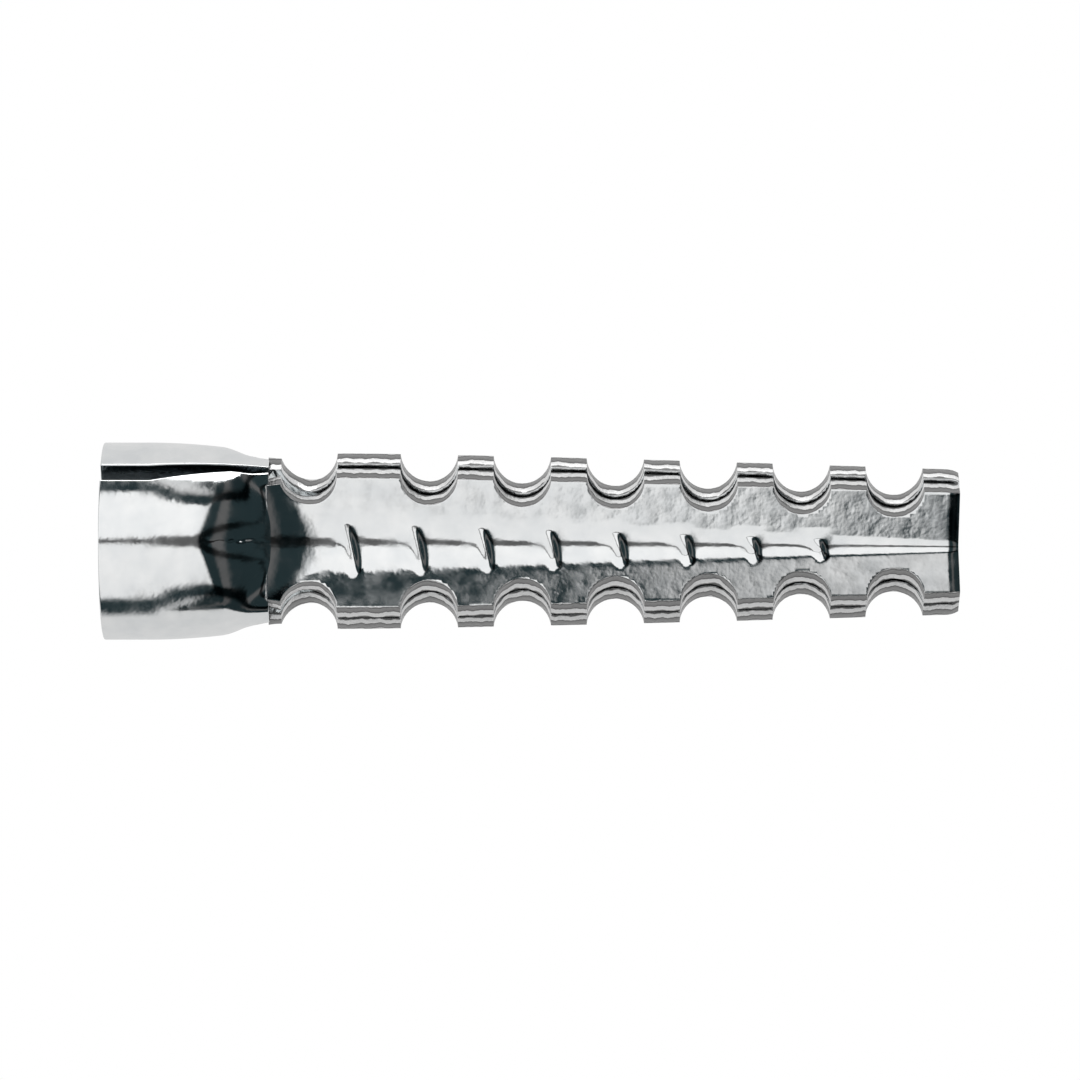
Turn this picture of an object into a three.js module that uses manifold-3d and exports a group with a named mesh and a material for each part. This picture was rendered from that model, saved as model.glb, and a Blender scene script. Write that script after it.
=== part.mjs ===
// Sheet-steel wall anchor: a rolled head sleeve and three V-folded legs with punched, toothed edges.
//
// Millimetres. The axis of the anchor is X: the mouth of the sleeve is at X = 0 and the leg tips
// point along +X. The front leg faces -Y, +Z is up, and the other legs are turned 120 degrees.
import * as THREE from 'three';
import { mergeVertices } from 'three/addons/utils/BufferGeometryUtils.js';
import Module from 'manifold-3d';

const wasm = await Module();
wasm.setup();

// Driving dimensions
const anchorLength = 38;
const steel = 0.9;
const bendGap = 0.3;

// Head sleeve
const headRadius = 4.4;
const headStraight = 2.2;
const neckEnd = 7.2;
const neckCornerRadius = 3.35;
const neckDiveStart = 4.1;
const neckDiveDelay = 1.6;
const neckDivePower = 1.6;
const seamAngle = 44;
const seamAngleAtNeck = 55;
const seamWidthAngle = 11.5;
const neckTaperPower = 1.8;

// Legs: the turn about the axis, and how much narrower the upper flange is than the lower one
const legs = {
  front_leg: { turn: 0, trim: 0.15 },
  upper_rear_leg: { turn: -120, trim: 0 },
  lower_rear_leg: { turn: 120, trim: 0 },
};
const legRoot = neckEnd + bendGap;
const flangeSpacing = 0.35;
const flangeRadius = 3.88;
const taperStart = 11;
const taperLoss = 0.198;
const taperPower = 1.3;
const rootLoss = 0.12;
const rootLossLength = 2;
const foldRadiusStart = 3.8;
const foldRadiusTip = 1;
const rootFlare = 3.6;
const rootFlareLength = 3.5;
const foldRadiusRoot = foldRadiusStart + rootFlare;
const foldShift = -0.3;
const foldShiftPower = 0.5;
const flangeReference = 2.95;

// Punched notches along both edges of every leg
const notchRadius = 1.28;
const notchDepth = 1.15;
const firstNotch = 9.15;
const secondNotch = 14.5;
const notchPitch = 4.13;
const laterNotches = 5;
const punchLength = 2.4;

// Facets
const sleeveSteps = { along: 9, around: 40 };
const legSteps = { along: 24, across: 10 };
const punchSides = 16;

const degree = Math.PI / 180;
const flangeAngle = 60 * degree;
const flangeOffset = (flangeSpacing + steel) / 2;
const foldSlope = Math.tan(30 * degree);
const foldDepth = flangeOffset / Math.cos(30 * degree);
const fullHead = headRadius - steel / 2;

const zincPlate = new THREE.MeshStandardMaterial({
  color: 0xc8ccce,
  roughness: 0.22,
  metalness: 1,
});

const clampUnit = (value) => Math.min(1, Math.max(0, value));
const alongLeg = (x) => clampUnit((x - legRoot) / (anchorLength - legRoot));

// Radius of the fold down the middle of a leg: flared open at the root and tight at the tip.
function foldRadius(x) {
  const flare = 1 - clampUnit((x - legRoot) / rootFlareLength);
  const plain = THREE.MathUtils.lerp(foldRadiusStart, foldRadiusTip, alongLeg(x));
  return plain + rootFlare * flare * flare;
}

// Distance of the leg's floor from the axis at its root, at the middle of the steel.
const rootFloor = foldDepth + foldRadiusRoot * (1 / Math.cos(30 * degree) - 1);

// Distance from the axis to the edge of a flange.
function edgeRadius(x) {
  const run = clampUnit((x - taperStart) / (anchorLength - taperStart));
  const nearRoot = 1 - clampUnit((x - legRoot) / rootLossLength);
  return flangeRadius * (1 - taperLoss * run ** taperPower - rootLoss * nearRoot);
}

// Section of a leg: two straight flanges and the fold between them. The fold wanders to one side
// toward the tip, so one flange grows a little flatter and the other a little steeper. Gives how
// far out the middle of the steel lies at a sideways place z, and its slope there.
function legSection(x, z) {
  const radius = foldRadius(x);
  const fold = foldShift * alongLeg(x) ** foldShiftPower;
  const rise = foldSlope * flangeReference;
  const upper = Math.atan(rise / (flangeReference - fold));
  const lower = Math.atan(rise / (flangeReference + fold));
  const spread = Math.sin(upper + lower);
  const centreOut = foldDepth + (radius * (Math.sin(upper) + Math.sin(lower))) / spread;
  const centre = fold + (radius * (Math.cos(upper) - Math.cos(lower))) / spread;
  const side = z - centre;
  if (side > radius * Math.sin(upper)) {
    return { out: foldDepth + Math.tan(upper) * (z - fold), slope: Math.tan(upper) };
  }
  if (side < -radius * Math.sin(lower)) {
    return { out: foldDepth - Math.tan(lower) * (z - fold), slope: -Math.tan(lower) };
  }
  const reach = Math.sqrt(radius * radius - side * side);
  return { out: centreOut - reach, slope: side / reach };
}

// A block of steel whose points are moved to where form(along, through, across) puts them.
function formedBlank(steps, form) {
  const blank = new THREE.BoxGeometry(1, 1, 1, steps.along, 1, steps.across);
  const points = blank.attributes.position;
  for (let i = 0; i < points.count; i += 1) {
    const place = form(points.getX(i) + 0.5, points.getY(i), points.getZ(i));
    points.setXYZ(i, place[0], place[1], place[2]);
  }
  return weld(blank);
}

// Keeps only positions and merges shared points, which a boolean needs.
function weld(geometry) {
  geometry.deleteAttribute('normal');
  geometry.deleteAttribute('uv');
  return mergeVertices(geometry, 1e-5);
}

function toSolid(geometry) {
  return new wasm.Manifold(new wasm.Mesh({
    numProp: 3,
    vertProperties: new Float32Array(geometry.attributes.position.array),
    triVerts: new Uint32Array(geometry.index.array),
  }));
}

function toGeometry(solid) {
  const mesh = solid.getMesh();
  const geometry = new THREE.BufferGeometry();
  geometry.setAttribute('position', new THREE.BufferAttribute(mesh.vertProperties, 3));
  geometry.setIndex(new THREE.BufferAttribute(mesh.triVerts, 1));
  geometry.computeVertexNormals();
  return geometry;
}

// Angle from the middle of the nearest of the neck's three sides.
function angleOnSide(angle) {
  const third = 2 * flangeAngle;
  return angle - third * Math.round(angle / third);
}

// Middle radius of the sleeve wall where the neck ends, folded into three sides.
function neckRadius(folded) {
  const centre = rootFloor + foldRadiusRoot;
  const reach = foldRadiusRoot ** 2 - (centre * Math.sin(folded)) ** 2;
  if (reach <= 0) {
    return neckCornerRadius;
  }
  return Math.min(neckCornerRadius, centre * Math.cos(folded) - Math.sqrt(reach));
}

function sleeveRadius(x, angle) {
  const taper = clampUnit((x - headStraight) / (neckEnd - headStraight)) ** neckTaperPower;
  const folded = angleOnSide(angle);
  const start = neckDiveStart + (neckDiveDelay * Math.abs(folded)) / flangeAngle;
  const dive = clampUnit((x - start) / (neckEnd - start)) ** neckDivePower;
  const corner = fullHead + (neckCornerRadius - fullHead) * taper;
  return corner - (neckCornerRadius - neckRadius(folded)) * dive;
}

// The rolled sleeve runs nearly all the way round, from one edge of its seam to the other.
function makeSleeve() {
  const steps = { along: sleeveSteps.along, across: sleeveSteps.around };
  return formedBlank(steps, (along, through, across) => {
    const x = along * neckEnd;
    const turn = clampUnit((x - headStraight) / (neckEnd - headStraight));
    const seam = seamAngle + (seamAngleAtNeck - seamAngle) * turn;
    const angle = (seam + 180 + across * (360 - seamWidthAngle)) * degree;
    const radius = sleeveRadius(x, angle) - through * steel;
    return [x, -radius * Math.cos(angle), radius * Math.sin(angle)];
  });
}

function notchPlaces() {
  const places = [firstNotch, secondNotch];
  for (let i = 1; i <= laterNotches; i += 1) {
    places.push(secondNotch + i * notchPitch);
  }
  return places;
}

// Sideways place of the middle of a flange's edge.
function edgeAcross(x) {
  return edgeRadius(x) * Math.sin(flangeAngle) - flangeOffset * Math.cos(flangeAngle);
}

// A round punch square to one flange; side is +1 for the upper edge and -1 for the lower.
function makePunch(x, side, trim) {
  const punch = new THREE.CylinderGeometry(notchRadius, notchRadius, punchLength, punchSides);
  const edge = edgeRadius(x) - trim / Math.sin(flangeAngle);
  const outward = edge + notchRadius - notchDepth;
  const out = outward * Math.cos(flangeAngle) + flangeOffset * Math.sin(flangeAngle);
  const across = outward * Math.sin(flangeAngle) - flangeOffset * Math.cos(flangeAngle);
  punch.rotateX(side * 30 * degree);
  punch.translate(x, -out, side * across);
  return toSolid(weld(punch));
}

// A leg as it stands at the front; trim narrows its upper flange.
function makeLeg(trim) {
  const blank = formedBlank(legSteps, (along, through, across) => {
    const x = legRoot + along * (anchorLength - legRoot);
    const z = THREE.MathUtils.lerp(-edgeAcross(x), edgeAcross(x) - trim, across + 0.5);
    const { out, slope } = legSection(x, z);
    const lean = Math.hypot(1, slope);
    return [x, -out + (through * steel) / lean, z + (through * steel * slope) / lean];
  });
  let leg = toSolid(blank);
  for (const x of notchPlaces()) {
    leg = leg.subtract(makePunch(x, 1, trim)).subtract(makePunch(x, -1, 0));
  }
  return toGeometry(leg);
}

const wallAnchor = new THREE.Group();

const sleeve = new THREE.Mesh(makeSleeve(), zincPlate);
sleeve.name = 'head_sleeve';
wallAnchor.add(sleeve);

for (const [name, { turn, trim }] of Object.entries(legs)) {
  const leg = new THREE.Mesh(makeLeg(trim), zincPlate);
  leg.name = name;
  leg.rotation.x = turn * degree;
  wallAnchor.add(leg);
}

export default wallAnchor;
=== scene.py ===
import math

import bmesh
import bpy
from mathutils import Matrix, Vector


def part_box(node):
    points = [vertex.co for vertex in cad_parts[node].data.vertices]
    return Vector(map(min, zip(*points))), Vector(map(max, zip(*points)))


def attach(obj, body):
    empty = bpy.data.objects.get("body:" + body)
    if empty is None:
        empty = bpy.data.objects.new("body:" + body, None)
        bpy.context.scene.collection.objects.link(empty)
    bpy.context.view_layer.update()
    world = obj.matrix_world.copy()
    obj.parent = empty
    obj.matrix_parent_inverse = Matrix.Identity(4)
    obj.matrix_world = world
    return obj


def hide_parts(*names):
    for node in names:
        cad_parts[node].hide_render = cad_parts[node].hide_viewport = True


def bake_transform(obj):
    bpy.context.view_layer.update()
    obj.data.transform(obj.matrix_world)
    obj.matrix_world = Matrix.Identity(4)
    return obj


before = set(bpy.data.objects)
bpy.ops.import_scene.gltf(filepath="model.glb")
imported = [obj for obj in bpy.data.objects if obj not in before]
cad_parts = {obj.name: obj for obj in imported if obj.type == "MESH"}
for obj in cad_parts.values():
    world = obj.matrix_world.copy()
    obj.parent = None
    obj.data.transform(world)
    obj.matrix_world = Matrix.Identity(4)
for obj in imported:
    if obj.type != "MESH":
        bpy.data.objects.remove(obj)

MM = 0.001
DEGREE = math.pi / 180
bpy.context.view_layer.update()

# Sizes read from the frame, in millimetres
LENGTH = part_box("front_leg")[1][0] / MM
HEAD_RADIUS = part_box("head_sleeve")[1][2] / MM

# Steel
STEEL = 0.9
CUT_EDGE_RADIUS = 0.06
CUT_EDGE_SEGMENTS = 3
CUT_EDGE_ANGLE = 35 * DEGREE
HEAD_MIDDLE_RADIUS = HEAD_RADIUS - STEEL / 2

# Neck of the sleeve
HEAD_STRAIGHT = 2.2
BEND_LINE = 7.35
NECK_CORNER_RADIUS = 3.45
NECK_DIVE_START = 4.2
NECK_DIVE_DELAY = 1.9
NECK_DIVE_POWER = 1.6
NECK_TAPER_POWER = 1.8
NECK_FOLD_SOFTNESS = 14
SEAM_ANGLE = 44
SEAM_ANGLE_AT_NECK = 55
SEAM_WIDTH_ANGLE = 11.5
SEAM_WIDTH_AT_NECK = 3

# Folded legs
FLANGE_ANGLE = 60 * DEGREE
FLANGE_SPACING = 0.14
FLANGE_RADIUS = 3.94
FLANGE_OFFSET = (FLANGE_SPACING + STEEL) / 2
FLANGE_LEAN = 30 * DEGREE
FOLD_SLOPE = math.tan(FLANGE_LEAN)
FOLD_DEPTH = FLANGE_OFFSET / math.cos(FLANGE_LEAN)
FOLD_RADIUS_START = 3.8
FOLD_RADIUS_TIP = 1.0
ROOT_FLARE = 3.6
ROOT_FLARE_LENGTH = 3.5
FOLD_RADIUS_ROOT = FOLD_RADIUS_START + ROOT_FLARE
FOLD_SHIFT = -0.3
FOLD_SHIFT_POWER = 0.5
FLANGE_REFERENCE = 2.95
TAPER_START = 11
TAPER_LOSS = 0.198
TAPER_POWER = 1.3
ROOT_LOSS = 0.12
ROOT_LOSS_LENGTH = 2
ROOT_LIP = 0.12
ROOT_LIP_LENGTH = 1.5
TIP_CURL_LENGTH = 0.5
TIP_CURL = 0.16

# Punched notches and pressed ribs
PUNCH_SIDES = 48
PUNCH_LENGTH = STEEL * 3
NOTCH_RADIUS = 1.28
NOTCH_DEPTH = 1.15
FIRST_NOTCH = 9.15
SECOND_NOTCH = 14.5
NOTCH_PITCH = 4.13
LATER_NOTCHES = 5
FIRST_RIB = 11.05
RIB_PITCH = 2.97
RIBS = 8
RIB_LENGTH = 2.7
RIB_LENGTH_LOSS = 0.19
RIB_MIDDLE = -0.42
RIB_WIDTH = 0.25
RIB_HEIGHT = 0.17
SWELL_WIDTH = 0.8
SWELL_HEIGHT = 0.07
SWELL_OFFSET = 0.5
RIB_SLANT = 0.17

# Sizes of the cells that the flat blanks are cut into before they bend, finest under the ribs
RIB_ZONE = 1.0
RIB_CELL = 0.06
FLANGE_CELL = 0.16
LEG_CELL = 0.09
OUTLINE_STEP = 1.5
SLEEVE_CELL_AROUND = 0.14
SLEEVE_CELL_ALONG = 0.12

# How far apart the pieces lie in the finish's pattern, so that no two look the same
BLANK_SHIFT = 50

# A face of the flat steel is a sheared wall if less of its normal than this is through the plate
WALL_LIMIT = 0.6
STEEL_FINISHES = ("Material", "Edge material")

# Each leg's body, its node, its turn about the axis and how much narrower its upper flange is
LEGS = [
    ("front", "front_leg", 0, 0.15),
    ("upper_rear", "upper_rear_leg", -120, 0),
    ("lower_rear", "lower_rear_leg", 120, 0),
]


def clamp_unit(value):
    return min(1.0, max(0.0, value))


# Sections, the same rules as the solids' ---------------------------------------------------------

def along_leg(x):
    return clamp_unit((x - BEND_LINE) / (LENGTH - BEND_LINE))


def fold_radius(x):
    flare = 1 - clamp_unit((x - BEND_LINE) / ROOT_FLARE_LENGTH)
    plain = FOLD_RADIUS_START + (FOLD_RADIUS_TIP - FOLD_RADIUS_START) * along_leg(x)
    return plain + ROOT_FLARE * flare * flare


def edge_radius(x):
    run = clamp_unit((x - TAPER_START) / (LENGTH - TAPER_START))
    near_root = 1 - clamp_unit((x - BEND_LINE) / ROOT_LOSS_LENGTH)
    return FLANGE_RADIUS * (1 - TAPER_LOSS * run ** TAPER_POWER - ROOT_LOSS * near_root)


def half_width(x):
    return edge_radius(x) * math.sin(FLANGE_ANGLE) - FLANGE_OFFSET * math.cos(FLANGE_ANGLE)


def leg_section(x, z):
    """How far out the middle of the steel lies at a sideways place, and its slope there."""
    radius = fold_radius(x)
    fold = FOLD_SHIFT * along_leg(x) ** FOLD_SHIFT_POWER
    rise = FOLD_SLOPE * FLANGE_REFERENCE
    upper = math.atan(rise / (FLANGE_REFERENCE - fold))
    lower = math.atan(rise / (FLANGE_REFERENCE + fold))
    spread = math.sin(upper + lower)
    centre_out = FOLD_DEPTH + radius * (math.sin(upper) + math.sin(lower)) / spread
    centre = fold + radius * (math.cos(upper) - math.cos(lower)) / spread
    side = z - centre
    if side > radius * math.sin(upper):
        return FOLD_DEPTH + math.tan(upper) * (z - fold), math.tan(upper)
    if side < -radius * math.sin(lower):
        return FOLD_DEPTH - math.tan(lower) * (z - fold), -math.tan(lower)
    reach = math.sqrt(radius * radius - side * side)
    return centre_out - reach, side / reach


def fold_leg(place):
    """Where a point of the flat leg blank goes when the leg is folded; y is through the steel."""
    x, through, z = place
    out, slope = leg_section(x, z)
    curl = clamp_unit((x - LENGTH + TIP_CURL_LENGTH) / TIP_CURL_LENGTH)
    lip = 1 - clamp_unit((x - BEND_LINE) / ROOT_LIP_LENGTH)
    out += ROOT_LIP * lip * lip - TIP_CURL * curl * curl
    lean = math.hypot(1, slope)
    return Vector((x, -out + through / lean, z + through * slope / lean))


def neck_radius(folded):
    centre = FOLD_DEPTH + FOLD_RADIUS_ROOT / math.cos(FLANGE_LEAN)
    reach = FOLD_RADIUS_ROOT ** 2 - (centre * math.sin(folded)) ** 2
    if reach <= 0:
        return NECK_CORNER_RADIUS
    side = centre * math.cos(folded) - math.sqrt(reach)
    soft = side ** -NECK_FOLD_SOFTNESS + NECK_CORNER_RADIUS ** -NECK_FOLD_SOFTNESS
    return soft ** (-1 / NECK_FOLD_SOFTNESS)


def sleeve_middle(x, angle):
    run = clamp_unit((x - HEAD_STRAIGHT) / (BEND_LINE - HEAD_STRAIGHT))
    taper = run ** NECK_TAPER_POWER
    folded = angle - 2 * FLANGE_ANGLE * round(angle / (2 * FLANGE_ANGLE))
    start = NECK_DIVE_START + NECK_DIVE_DELAY * abs(folded) / FLANGE_ANGLE
    dive = clamp_unit((x - start) / (BEND_LINE - start)) ** NECK_DIVE_POWER
    corner = HEAD_MIDDLE_RADIUS + (NECK_CORNER_RADIUS - HEAD_MIDDLE_RADIUS) * taper
    radius = corner - (NECK_CORNER_RADIUS - neck_radius(folded)) * dive
    return Vector((x, -radius * math.cos(angle), radius * math.sin(angle)))


def roll_sleeve(place):
    """Where a point of the flat sleeve blank goes when it is rolled; y is through the steel."""
    x, through, across = place
    run = clamp_unit((x - HEAD_STRAIGHT) / (BEND_LINE - HEAD_STRAIGHT))
    seam = SEAM_ANGLE + (SEAM_ANGLE_AT_NECK - SEAM_ANGLE) * run
    closing = (SEAM_WIDTH_ANGLE - SEAM_WIDTH_AT_NECK) * run / (360 - SEAM_WIDTH_ANGLE)
    angle = (seam + 180) * DEGREE + across * (1 + closing) / HEAD_MIDDLE_RADIUS
    step = 1e-3
    along = sleeve_middle(x + step, angle) - sleeve_middle(x - step, angle)
    around = sleeve_middle(x, angle + step) - sleeve_middle(x, angle - step)
    inward = around.cross(along).normalized()
    return sleeve_middle(x, angle) + inward * through


# Node helpers ------------------------------------------------------------------------------------

class Field:
    """A value in a node tree that can be added, scaled and so on in plain arithmetic."""

    def __init__(self, tree, socket):
        self.tree = tree
        self.socket = socket

    def math(self, operation, *others):
        node = self.tree.nodes.new("ShaderNodeMath")
        node.operation = operation
        for slot, value in zip(node.inputs, (self, *others)):
            if isinstance(value, Field):
                self.tree.links.new(value.socket, slot)
            else:
                slot.default_value = value
        return Field(self.tree, node.outputs[0])

    def __add__(self, other):
        return self.math("ADD", other)

    def __sub__(self, other):
        return self.math("SUBTRACT", other)

    def __mul__(self, other):
        return self.math("MULTIPLY", other)

    def __truediv__(self, other):
        return self.math("DIVIDE", other)


def geometry_tree(name, sizes, finishes=("Material",)):
    """A Geometry Nodes tree with a geometry input, material inputs and named size inputs."""
    tree = bpy.data.node_groups.new(name, "GeometryNodeTree")
    tree.interface.new_socket("Geometry", in_out="INPUT", socket_type="NodeSocketGeometry")
    for label in finishes:
        tree.interface.new_socket(label, in_out="INPUT", socket_type="NodeSocketMaterial")
    for label in sizes:
        tree.interface.new_socket(label, in_out="INPUT", socket_type="NodeSocketFloat")
    tree.interface.new_socket("Geometry", in_out="OUTPUT", socket_type="NodeSocketGeometry")
    entry = tree.nodes.new("NodeGroupInput")
    leave = tree.nodes.new("NodeGroupOutput")
    return tree, entry, leave


def set_inputs(modifier, tree, values):
    """Sets a modifier's inputs from their names, by each socket's identifier."""
    for item in tree.interface.items_tree:
        if item.in_out == "INPUT" and item.name in values:
            modifier[item.identifier] = values[item.name]


def apply_modifiers(piece):
    """Makes the piece's evaluated shape its plain mesh, and removes its modifiers."""
    evaluated = piece.evaluated_get(bpy.context.evaluated_depsgraph_get())
    mesh = bpy.data.meshes.new_from_object(evaluated)
    piece.modifiers.clear()
    piece.data = mesh


def add_object(name, data):
    piece = bpy.data.objects.new(name, data)
    bpy.context.scene.collection.objects.link(piece)
    return piece


# Materials ---------------------------------------------------------------------------------------

def shader_node(tree, kind, **values):
    node = tree.nodes.new(kind)
    for name, value in values.items():
        node.inputs[name].default_value = value
    return node


def colour_ramp(tree, source, stops):
    node = tree.nodes.new("ShaderNodeValToRGB")
    ramp = node.color_ramp
    while len(ramp.elements) < len(stops):
        ramp.elements.new(0.5)
    for element, (place, colour) in zip(ramp.elements, stops):
        element.position = place
        element.color = (*colour, 1) if isinstance(colour, tuple) else (colour, colour, colour, 1)
    tree.links.new(source, node.inputs["Fac"])
    return node.outputs["Color"]


def mix_colours(tree, factor, first, second, blend="MIX"):
    """Mixes two colours; each value is a colour, a number or a socket."""
    node = tree.nodes.new("ShaderNodeMix")
    node.data_type = "RGBA"
    node.blend_type = blend
    factor_input, first_input, second_input, result = 0, 6, 7, 2
    for place, value in ((factor_input, factor), (first_input, first), (second_input, second)):
        if isinstance(value, bpy.types.NodeSocket):
            tree.links.new(value, node.inputs[place])
        else:
            node.inputs[place].default_value = value
    return node.outputs[result]


def blank_place(tree):
    """The point's place on the flat blank, in millimetres, which the finish follows."""
    node = tree.nodes.new("ShaderNodeAttribute")
    node.attribute_name = "blank_place"
    return node.outputs["Vector"]


def noise(tree, place, scale, detail, stretch=(1, 1, 1)):
    mapping = tree.nodes.new("ShaderNodeMapping")
    mapping.inputs["Scale"].default_value = stretch
    tree.links.new(place, mapping.inputs["Vector"])
    node = shader_node(tree, "ShaderNodeTexNoise", Scale=scale, Detail=detail)
    tree.links.new(mapping.outputs["Vector"], node.inputs["Vector"])
    return node.outputs["Fac"]


def new_metal(name):
    material = bpy.data.materials.new(name)
    material.use_nodes = True
    tree = material.node_tree
    shader = tree.nodes["Principled BSDF"]
    shader.inputs["Metallic"].default_value = 1.0
    return material, tree, shader


def add_bumps(tree, shader, layers):
    """Stacks bumps, coarsest first, each as (height, strength, distance in metres)."""
    normal = None
    for height, strength, distance in layers:
        bump = shader_node(tree, "ShaderNodeBump", Strength=strength, Distance=distance)
        tree.links.new(height, bump.inputs["Height"])
        if normal is not None:
            tree.links.new(normal, bump.inputs["Normal"])
        normal = bump.outputs["Normal"]
    tree.links.new(normal, shader.inputs["Normal"])


PLATE_TINTS = [(0.3, (0.80, 0.82, 0.83)), (0.7, (0.90, 0.91, 0.91))]
PLATE_ROUGHNESS = [(0.35, 0.06), (0.7, 0.16)]
# The sheared edge's own burnished and torn finish; the thin dark stops at 0.06, 0.5 and 0.95 are
# painted shade lines along the rounded corners and where the burnished band meets the torn one
EDGE_BANDS_AND_SHADE_LINES = [
    (0.0, 0.6), (0.06, 0.1), (0.15, 0.3), (0.42, 0.24), (0.5, 0.08), (0.56, 0.88), (0.86, 0.94),
    (0.95, 0.15)]
EDGE_ROUGHNESS = [(0.4, 0.15), (0.6, 0.42)]
EDGE_WANDER = 0.7

# Painted shade: sheared walls this far from the middle of the sleeve's blank are painted dark as
# the shade in the seam's gap: the seam's two walls and the ends of the mouth's rim beside them
SEAM_SHADE_START = 10
SEAM_SHADE_COLOUR = (0.12, 0.14, 0.15, 1)


def bright_zinc():
    """Bright plate: nearly a mirror, faintly clouded and rolling."""
    material, tree, shader = new_metal("bright_zinc_plate")
    place = blank_place(tree)
    cloud = noise(tree, place, scale=0.9, detail=4.0)
    rolling = noise(tree, place, scale=1.6, detail=2.0)
    grain = noise(tree, place, scale=7.0, detail=3.0)
    tree.links.new(colour_ramp(tree, cloud, PLATE_TINTS), shader.inputs["Base Color"])
    tree.links.new(colour_ramp(tree, rolling, PLATE_ROUGHNESS), shader.inputs["Roughness"])
    add_bumps(tree, shader, [(rolling, 0.2, 0.00004), (grain, 0.05, 0.00002)])
    return material


def cut_zinc():
    """Sheared edge: a smooth burnished band, then a bright torn band, with thin painted shade
    lines; painted shade at the seam.
    """
    material, tree, shader = new_metal("sheared_zinc_edge")
    place = blank_place(tree)
    parts = tree.nodes.new("ShaderNodeSeparateXYZ")
    tree.links.new(place, parts.inputs["Vector"])
    through = Field(tree, parts.outputs["Y"]) / STEEL + 0.5
    border = noise(tree, place, scale=1.6, detail=4.0, stretch=(1, 0.2, 1))
    wander = Field(tree, border) - 0.5
    band = (through + wander * EDGE_WANDER).socket
    torn = noise(tree, place, scale=5.0, detail=6.0, stretch=(1.6, 0.6, 1.6))
    # Painted shade: walls far from the middle of the sleeve's blank, at the seam, are painted dark
    seam_shade = Field(tree, parts.outputs["Z"]).math("ABSOLUTE").math("GREATER_THAN", SEAM_SHADE_START)
    # The edge's own finish, with painted shade lines along the corners and where burnish meets
    # tear
    bands_and_shade_lines = colour_ramp(tree, band, EDGE_BANDS_AND_SHADE_LINES)
    colour = mix_colours(tree, seam_shade.socket, bands_and_shade_lines, SEAM_SHADE_COLOUR)
    tree.links.new(colour, shader.inputs["Base Color"])
    tree.links.new(colour_ramp(tree, band, EDGE_ROUGHNESS), shader.inputs["Roughness"])
    add_bumps(tree, shader, [(torn, 0.6, 0.00006)])
    return material


ZINC = bright_zinc()
CUT_ZINC = cut_zinc()


# Flat blanks -------------------------------------------------------------------------------------

def flat_blank(name, outline):
    """A plate of the steel's thickness in the XZ plane, from its outline."""
    shape = bmesh.new()
    corners = [shape.verts.new((x, -STEEL / 2, z)) for x, z in outline]
    face = shape.faces.new(corners)
    grown = bmesh.ops.extrude_face_region(shape, geom=[face])
    for vertex in [item for item in grown["geom"] if isinstance(item, bmesh.types.BMVert)]:
        vertex.co.y = STEEL / 2
    bmesh.ops.recalc_face_normals(shape, faces=shape.faces)
    mesh = bpy.data.meshes.new(name)
    shape.to_mesh(mesh)
    shape.free()
    return add_object(name, mesh)


def deburr(blank):
    """Rounds the plate's sheared edges a little."""
    bevel = blank.modifiers.new("rounded_edges", "BEVEL")
    bevel.width = CUT_EDGE_RADIUS
    bevel.segments = CUT_EDGE_SEGMENTS
    bevel.limit_method = "ANGLE"
    bevel.angle_limit = CUT_EDGE_ANGLE
    apply_modifiers(blank)


def cut_into_cells(mesh, axis, places):
    """Cuts the flat mesh across one axis, so that it can bend smoothly there."""
    shape = bmesh.new()
    shape.from_mesh(mesh)
    direction = Vector((0, 0, 0))
    direction[axis] = 1
    for place in places:
        everything = shape.verts[:] + shape.edges[:] + shape.faces[:]
        bmesh.ops.bisect_plane(
            shape, geom=everything, dist=1e-5, plane_co=direction * place, plane_no=direction)
    shape.to_mesh(mesh)
    shape.free()


def spaced(start, stop, step):
    """The middles of equal steps of about the given size between two places."""
    count = max(1, round((stop - start) / step))
    return [start + (stop - start) * (i + 0.5) / count for i in range(count)]


def mark_blank(mesh, shift):
    """Notes each point's place on the blank, moved along so that no two pieces match."""
    mesh.materials.clear()
    mesh.materials.append(ZINC)
    mesh.materials.append(CUT_ZINC)
    note = mesh.attributes.new("blank_place", "FLOAT_VECTOR", "POINT")
    for vertex in mesh.vertices:
        note.data[vertex.index].vector = (vertex.co.x + shift, vertex.co.y, vertex.co.z)
    mesh.shade_smooth()


def form(mesh, rule, turn=0):
    """Bends the flat mesh by a rule, turns it about the anchor's axis and scales it to metres."""
    for vertex in mesh.vertices:
        vertex.co = rule(vertex.co)
    mesh.transform(Matrix.Scale(MM, 4) @ Matrix.Rotation(turn * DEGREE, 4, "X"))
    mesh.update()


# Punches and ribs, repeated by Geometry Nodes -------------------------------------------------

def punch_row_tree():
    """A round punch through the plate at every point of a row."""
    tree, entry, leave = geometry_tree("punch_row", ["Punch radius", "Punch length"])
    punch = tree.nodes.new("GeometryNodeMeshCylinder")
    punch.inputs["Vertices"].default_value = PUNCH_SIDES
    tree.links.new(entry.outputs["Punch radius"], punch.inputs["Radius"])
    tree.links.new(entry.outputs["Punch length"], punch.inputs["Depth"])
    place = tree.nodes.new("GeometryNodeInstanceOnPoints")
    place.inputs["Rotation"].default_value = (math.pi / 2, 0, 0)
    tree.links.new(entry.outputs["Geometry"], place.inputs["Points"])
    tree.links.new(punch.outputs["Mesh"], place.inputs["Instance"])
    realize = tree.nodes.new("GeometryNodeRealizeInstances")
    tree.links.new(place.outputs["Instances"], realize.inputs["Geometry"])
    finish = tree.nodes.new("GeometryNodeSetMaterial")
    tree.links.new(realize.outputs["Geometry"], finish.inputs["Geometry"])
    tree.links.new(entry.outputs["Material"], finish.inputs["Material"])
    tree.links.new(finish.outputs["Geometry"], leave.inputs["Geometry"])
    return tree


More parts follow.
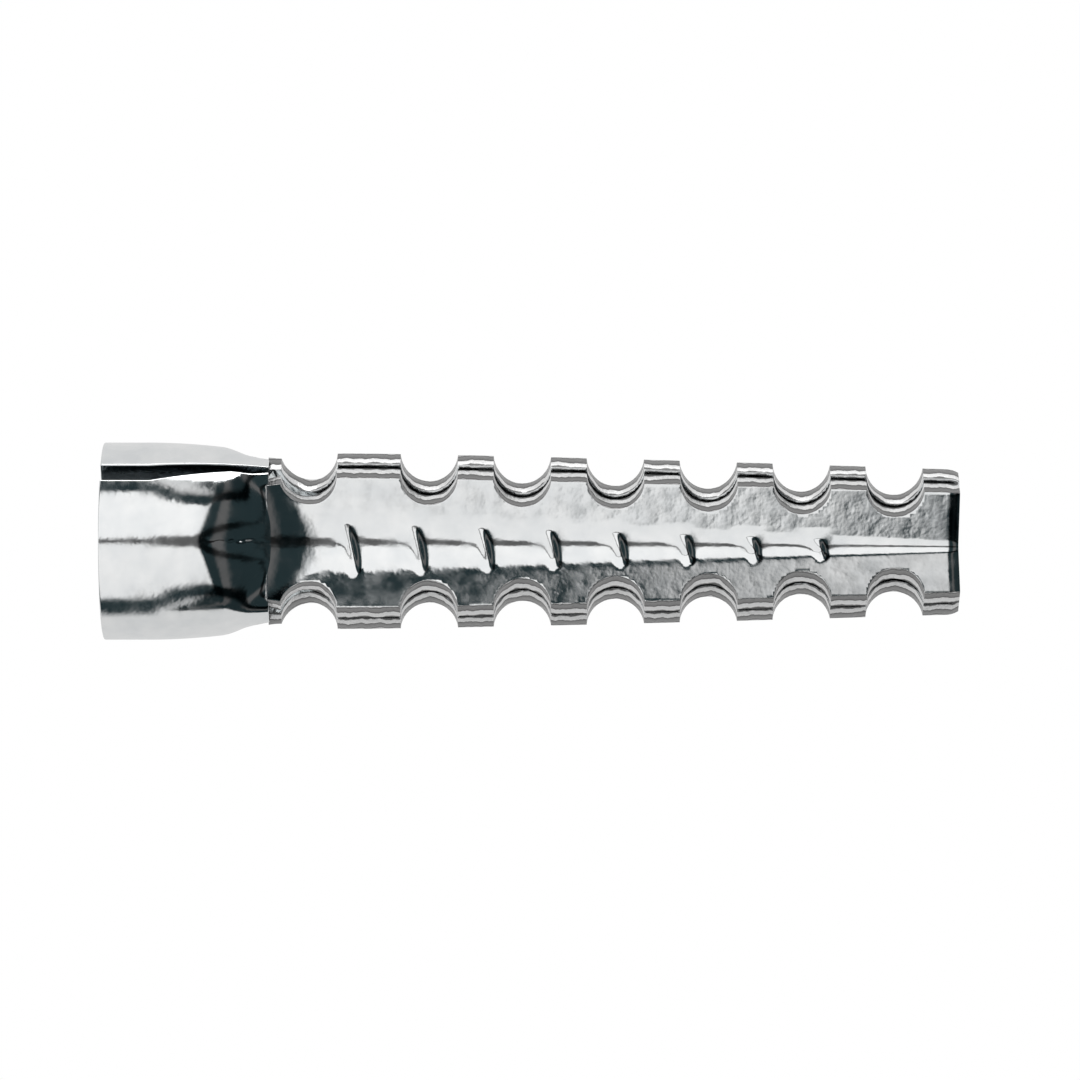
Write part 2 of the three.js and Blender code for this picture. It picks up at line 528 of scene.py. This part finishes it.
def finish_steel(tree, entry, leave, geometry):
    """Ends a tree: bright plate all over, then the sheared walls' own finish on what was cut."""
    realize = tree.nodes.new("GeometryNodeRealizeInstances")
    tree.links.new(geometry, realize.inputs["Geometry"])
    plate = tree.nodes.new("GeometryNodeSetMaterial")
    tree.links.new(realize.outputs["Geometry"], plate.inputs["Geometry"])
    tree.links.new(entry.outputs["Material"], plate.inputs["Material"])
    normal = tree.nodes.new("GeometryNodeInputNormal")
    parts = tree.nodes.new("ShaderNodeSeparateXYZ")
    tree.links.new(normal.outputs["Normal"], parts.inputs["Vector"])
    facing = Field(tree, parts.outputs["Y"]).math("ABSOLUTE")
    walls = facing.math("LESS_THAN", Field(tree, entry.outputs["Wall limit"]))
    edge = tree.nodes.new("GeometryNodeSetMaterial")
    tree.links.new(plate.outputs["Geometry"], edge.inputs["Geometry"])
    tree.links.new(walls.socket, edge.inputs["Selection"])
    tree.links.new(entry.outputs["Edge material"], edge.inputs["Material"])
    tree.links.new(edge.outputs["Geometry"], leave.inputs["Geometry"])


def bell(field):
    """A smooth hump, 1 in the middle and almost nothing 1.5 away."""
    return (field * field * -2.0).math("EXPONENT")


def arch(field):
    """A rounded hump, 1 in the middle and 0 from 1 away."""
    return (field * field * -1.0 + 1.0).math("MAXIMUM", 0.0)


def rib_tree():
    """Presses evenly spaced slanted ribs, which fade out at both ends, into the flat leg."""
    sizes = ["First rib", "Pitch", "Last rib", "Middle", "Length", "Length loss", "Width",
             "Height", "Slant", "Swell width", "Swell height", "Swell offset", "Wall limit"]
    tree, entry, leave = geometry_tree("pressed_ribs", sizes, STEEL_FINISHES)
    size = {label: Field(tree, entry.outputs[label]) for label in sizes}
    position = tree.nodes.new("GeometryNodeInputPosition")
    parts = tree.nodes.new("ShaderNodeSeparateXYZ")
    tree.links.new(position.outputs["Position"], parts.inputs["Vector"])
    along = Field(tree, parts.outputs["X"])
    across = Field(tree, parts.outputs["Z"]) - size["Middle"]
    phase = (along + across * size["Slant"] - size["First rib"]) / size["Pitch"]
    nearest = phase.math("ROUND").math("MAXIMUM", 0.0).math("MINIMUM", size["Last rib"])
    distance = (phase - nearest) * size["Pitch"]
    profile = bell(distance / size["Width"])
    reach = (size["Length"] - nearest * size["Length loss"]) * 0.5
    rib = profile * arch(across / reach) * size["Height"]
    above = (across - size["Swell offset"]) / reach
    swell = bell(distance / size["Swell width"]) * arch(above) * size["Swell height"]
    push = (rib + swell) * -1.0
    offset = tree.nodes.new("ShaderNodeCombineXYZ")
    tree.links.new(push.socket, offset.inputs["Y"])
    press = tree.nodes.new("GeometryNodeSetPosition")
    tree.links.new(entry.outputs["Geometry"], press.inputs["Geometry"])
    tree.links.new(offset.outputs["Vector"], press.inputs["Offset"])
    finish_steel(tree, entry, leave, press.outputs["Geometry"])
    return tree


def plain_steel_tree():
    """Gives a plate with no ribs its two finishes."""
    tree, entry, leave = geometry_tree("plain_steel", ["Wall limit"], STEEL_FINISHES)
    finish_steel(tree, entry, leave, entry.outputs["Geometry"])
    return tree


def notch_points(trim):
    """The middles of the round punches along both edges of a leg's flat strip."""
    rows = [FIRST_NOTCH] + [SECOND_NOTCH + i * NOTCH_PITCH for i in range(LATER_NOTCHES + 1)]
    centre = NOTCH_RADIUS - NOTCH_DEPTH
    upper = [(x, 0, half_width(x) - trim + centre) for x in rows]
    lower = [(x, 0, -half_width(x) - centre) for x in rows]
    return upper + lower


def punch_notches(blank, trim):
    """Cuts the notches into a leg's flat strip."""
    guide = bpy.data.meshes.new("punch_points")
    guide.from_pydata(notch_points(trim), [], [])
    punches = add_object("edge_punches", guide)
    tree = punch_row_tree()
    modifier = punches.modifiers.new("punch_row", "NODES")
    modifier.node_group = tree
    set_inputs(modifier, tree, {
        "Material": CUT_ZINC, "Punch radius": NOTCH_RADIUS, "Punch length": PUNCH_LENGTH})
    apply_modifiers(punches)
    cut = blank.modifiers.new("punched", "BOOLEAN")
    cut.operation = "DIFFERENCE"
    cut.solver = "EXACT"
    cut.object = punches
    apply_modifiers(blank)
    bpy.data.objects.remove(punches)


def run_tree(blank, tree, sizes):
    """Runs a tree that ends in the steel's two finishes, and keeps its result."""
    modifier = blank.modifiers.new(tree.name, "NODES")
    modifier.node_group = tree
    set_inputs(modifier, tree, {
        "Material": ZINC, "Edge material": CUT_ZINC, "Wall limit": WALL_LIMIT, **sizes})
    apply_modifiers(blank)


def press_ribs(blank):
    run_tree(blank, rib_tree(), {
        "First rib": FIRST_RIB, "Pitch": RIB_PITCH, "Last rib": float(RIBS - 1),
        "Middle": RIB_MIDDLE, "Length": RIB_LENGTH, "Length loss": RIB_LENGTH_LOSS,
        "Width": RIB_WIDTH, "Height": RIB_HEIGHT, "Slant": RIB_SLANT,
        "Swell width": SWELL_WIDTH, "Swell height": SWELL_HEIGHT, "Swell offset": SWELL_OFFSET})


# Pieces ------------------------------------------------------------------------------------------

def make_leg_blank(name, trim):
    """The flat, punched and deburred strip that a leg is folded from."""
    near_root = [BEND_LINE, BEND_LINE + ROOT_LOSS_LENGTH]
    stations = near_root + spaced(TAPER_START, LENGTH, OUTLINE_STEP) + [LENGTH]
    upper = [(x, half_width(x) - trim) for x in stations]
    lower = [(x, -half_width(x)) for x in reversed(stations)]
    blank = flat_blank(name, upper + lower)
    punch_notches(blank, trim)
    deburr(blank)
    wide = half_width(TAPER_START)
    fine = spaced(-RIB_ZONE, RIB_ZONE, RIB_CELL)
    sides = spaced(-wide, -RIB_ZONE, FLANGE_CELL) + spaced(RIB_ZONE, wide, FLANGE_CELL)
    cut_into_cells(blank.data, 2, sides + fine)
    cut_into_cells(blank.data, 0, spaced(BEND_LINE, LENGTH, LEG_CELL))
    return blank


def make_legs():
    """Makes the three legs, each folded from its flat strip with its root flared, and turned about
    the axis.
    """
    for order, (body, node, turn, trim) in enumerate(LEGS):
        leg = make_leg_blank("folded_" + node, trim)
        mark_blank(leg.data, shift=BLANK_SHIFT * order)
        press_ribs(leg)
        form(leg.data, fold_leg, turn)
        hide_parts(node)
        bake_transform(leg)


def make_sleeve():
    """Makes the sleeve, rolled from a plain plate with its two ends left apart at the seam."""
    half = (180 - SEAM_WIDTH_ANGLE / 2) * DEGREE * HEAD_MIDDLE_RADIUS
    outline = [(0, half), (BEND_LINE, half), (BEND_LINE, -half), (0, -half)]
    sleeve = flat_blank("rolled_head_sleeve", outline)
    deburr(sleeve)
    cut_into_cells(sleeve.data, 2, spaced(-half, half, SLEEVE_CELL_AROUND))
    cut_into_cells(sleeve.data, 0, spaced(0, BEND_LINE, SLEEVE_CELL_ALONG))
    mark_blank(sleeve.data, shift=-BLANK_SHIFT)
    run_tree(sleeve, plain_steel_tree(), {})
    form(sleeve.data, roll_sleeve)
    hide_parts("head_sleeve")
    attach(sleeve, "sleeve")


# Studio ------------------------------------------------------------------------------------------

# Camera, in millimetres
CAMERA_DISTANCE = 290
FRAME_WIDTH = 48.15
SENSOR = 36
VIEW_CENTRE = Vector((19.41, 0, 0.05))

# Floor and lamp, in metres
FLOOR_HALF_LENGTH = 0.4
FLOOR_HALF_DEPTH = 0.3
FLOOR_HEIGHT = -0.05
FLOOR_COLOUR = (0.9, 0.9, 0.9, 1)
LAMP_LENGTH = 0.4
LAMP_WIDTH = 0.1
LAMP_FORWARD = -0.02
LAMP_HEIGHT = 0.35
LAMP_WATTS = 0.5

# Cards: where each one lies round the anchor's axis or round the upright, and how light it is
DARK = (0.02, 0.034, 0.038)
ROUND_CARDS = [
    (0.0, 0.7), (0.22, 0.7), (0.245, DARK), (0.292, DARK), (0.31, 0.88), (0.49, 0.92),
    (0.51, 1.0), (0.662, 1.0), (0.672, DARK), (0.709, DARK),
    (0.718, 0.4), (0.74, 0.74), (1.0, 0.74)]
END_CARDS = [
    (0.0, 1.0), (0.533, 1.0), (0.55, DARK), (0.608, DARK), (0.622, 0.12), (0.65, 0.12),
    (0.665, DARK), (0.778, DARK), (0.81, 1.0)]
BACKDROP = (1, 1, 1, 1)
CARD_TILT = 2.8
CARD_TILT_START = 0.06
CARD_TILT_LIMIT = 0.13
CAMERA_LINE_WIDTH = 0.4
CAMERA_LINE_GROWTH = 90
CAMERA_LINE_TILT = 0.04
CAMERA_LINE_SOFTNESS = 3.5
CAMERA_LINE_LIGHT = 0.12


def place_camera():
    data = bpy.data.cameras.new("studio_camera")
    data.sensor_width = SENSOR
    data.lens = SENSOR * CAMERA_DISTANCE / FRAME_WIDTH
    data.clip_start = 0.01
    camera = add_object("studio_camera", data)
    camera.location = (VIEW_CENTRE - Vector((0, CAMERA_DISTANCE, 0))) * MM
    camera.rotation_euler = (90 * DEGREE, 0, 0)
    bpy.context.scene.camera = camera


def lay_floor():
    """A pale floor under the anchor, left out of what the bright metal mirrors."""
    mesh = bpy.data.meshes.new("pale_floor")
    x, y, z = FLOOR_HALF_LENGTH, FLOOR_HALF_DEPTH, FLOOR_HEIGHT
    mesh.from_pydata([(-x, -y, z), (x, -y, z), (x, y, z), (-x, y, z)], [], [(0, 1, 2, 3)])
    floor = add_object("pale_floor", mesh)
    material = bpy.data.materials.new("pale_floor")
    material.use_nodes = True
    shader = material.node_tree.nodes["Principled BSDF"]
    shader.inputs["Base Color"].default_value = FLOOR_COLOUR
    shader.inputs["Roughness"].default_value = 0.8
    mesh.materials.append(material)
    floor.visible_glossy = False


def hang_lamp():
    overhead = bpy.data.lights.new("overhead_softbox", "AREA")
    overhead.shape = "RECTANGLE"
    overhead.size = LAMP_LENGTH
    overhead.size_y = LAMP_WIDTH
    overhead.energy = LAMP_WATTS
    lamp = add_object("overhead_softbox", overhead)
    lamp.location = (VIEW_CENTRE.x * MM, LAMP_FORWARD, LAMP_HEIGHT)


def round_cards(tree, along, back, up):
    """The cards round the anchor's axis, drawn in towards the tips, and the camera's dark line."""
    tilt = (along + CARD_TILT_START).math("MAXIMUM", 0.0).math("MINIMUM", CARD_TILT_LIMIT)
    angle = up.math("ARCTAN2", back * -1.0)
    turn = (angle * (tilt * CARD_TILT + 1.0) / (2 * math.pi) + 0.5).socket
    half_line = tilt.math("MINIMUM", CAMERA_LINE_TILT) * CAMERA_LINE_GROWTH + CAMERA_LINE_WIDTH
    clear = (angle.math("ABSOLUTE") / DEGREE - half_line) / CAMERA_LINE_SOFTNESS
    clear = clear.math("MAXIMUM", CAMERA_LINE_LIGHT).math("MINIMUM", 1.0)
    lined = tree.nodes.new("ShaderNodeVectorMath")
    lined.operation = "SCALE"
    tree.links.new(colour_ramp(tree, turn, ROUND_CARDS), lined.inputs[0])
    tree.links.new(clear.socket, lined.inputs["Scale"])
    return lined.outputs["Vector"]


def end_cards(tree, along, back):
    """The cards off towards the tips, for surfaces that face partly along the anchor."""
    swing = along.math("ARCTAN2", back * -1.0) / (2 * math.pi) + 0.5
    return colour_ramp(tree, swing.socket, END_CARDS)


def light_studio():
    """A white light tent with dark cards, which bright metal mirrors; the camera sees it white."""
    world = bpy.data.worlds.new("light_tent")
    world.use_nodes = True
    bpy.context.scene.world = world
    tree = world.node_tree
    coordinates = tree.nodes.new("ShaderNodeTexCoord")
    parts = tree.nodes.new("ShaderNodeSeparateXYZ")
    tree.links.new(coordinates.outputs["Generated"], parts.inputs["Vector"])
    along, back, up = [Field(tree, parts.outputs[axis]) for axis in "XYZ"]
    round_axis = round_cards(tree, along, back, up)
    tent = mix_colours(tree, 1.0, round_axis, end_cards(tree, along, back), "MULTIPLY")
    camera_ray = tree.nodes.new("ShaderNodeLightPath").outputs["Is Camera Ray"]
    shown = mix_colours(tree, camera_ray, tent, BACKDROP)
    tree.links.new(shown, tree.nodes["Background"].inputs["Color"])
    bpy.context.scene.view_settings.view_transform = "Standard"


place_camera()
make_sleeve()
make_legs()
lay_floor()
light_studio()
hang_lamp()
